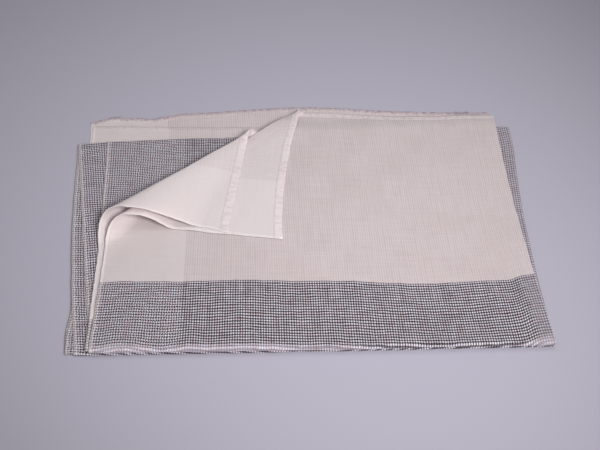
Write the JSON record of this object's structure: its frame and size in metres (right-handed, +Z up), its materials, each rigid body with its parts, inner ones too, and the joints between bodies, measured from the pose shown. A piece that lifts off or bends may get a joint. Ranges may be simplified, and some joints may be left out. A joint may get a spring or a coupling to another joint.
{
  "type": "folded long scarf",
  "caption": "Wide thin woven scarf folded into a flat rectangle, with the back left corner of its top turned over; dark checked middle and plain cream end.",
  "frame": {"origin": "middle of the footprint, on the surface that the scarf lies on", "axes": "+X along the front folds, from the selvedges to the long fold; +Y from the front folds to the back; +Z up"},
  "size_m": [0.5446, 0.4034, 0.0348],
  "materials": {
    "woven_cloth": "soft matt open weave, cream with navy and grey yarns"
  },
  "bodies": {
    "root": {"scarf": "woven_cloth"}
  },
  "joints": []
}
